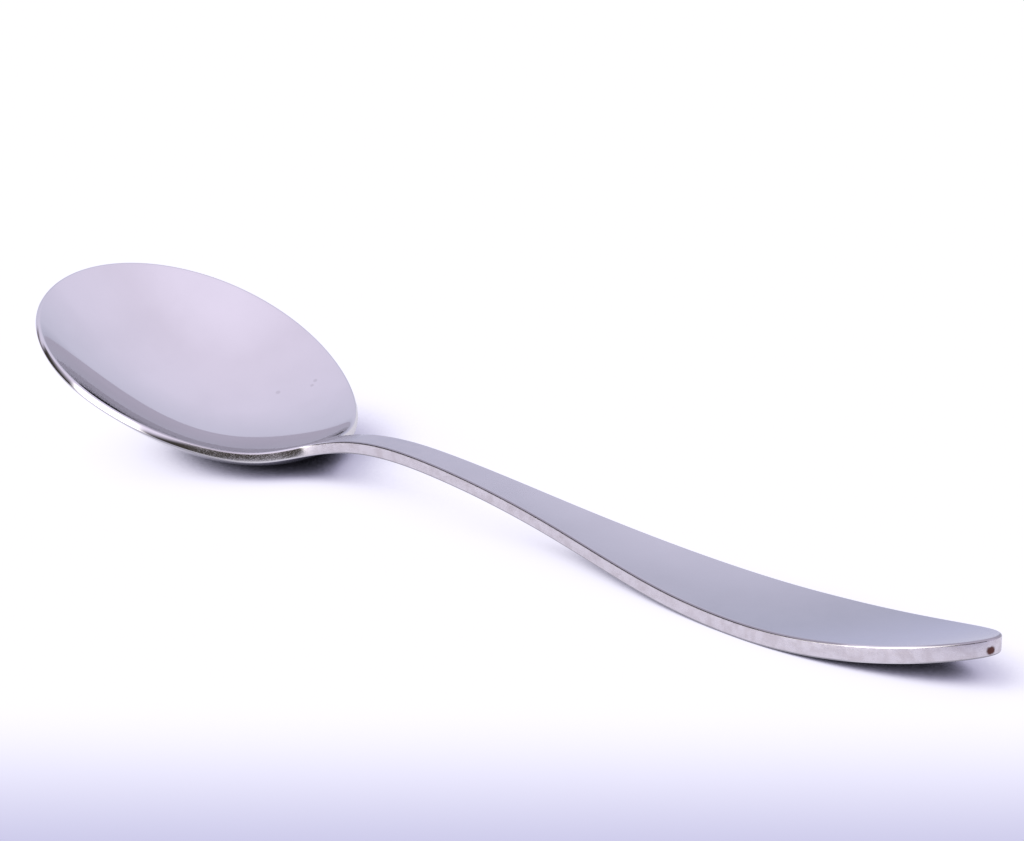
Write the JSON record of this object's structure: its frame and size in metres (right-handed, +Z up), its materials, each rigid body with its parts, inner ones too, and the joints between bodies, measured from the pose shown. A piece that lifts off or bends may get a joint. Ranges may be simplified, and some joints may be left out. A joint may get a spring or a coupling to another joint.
{
  "type": "soup spoon",
  "caption": "Steel soup spoon with a broad egg-shaped bowl, a narrow neck and an arched flat handle that widens to a rounded end.",
  "frame": {"origin": "on the table, below the middle of the spoon's bounding box", "axes": "+X from the bowl's tip to the handle's end, +Y across the spoon, +Z up from the table"},
  "size_m": [0.1804, 0.0474, 0.0234],
  "materials": {
    "bowl_steel": "mirror polished",
    "handle_steel": "mirror polished top, satin edges"
  },
  "bodies": {
    "root": {"bowl": "bowl_steel", "handle": "handle_steel"}
  },
  "joints": []
}
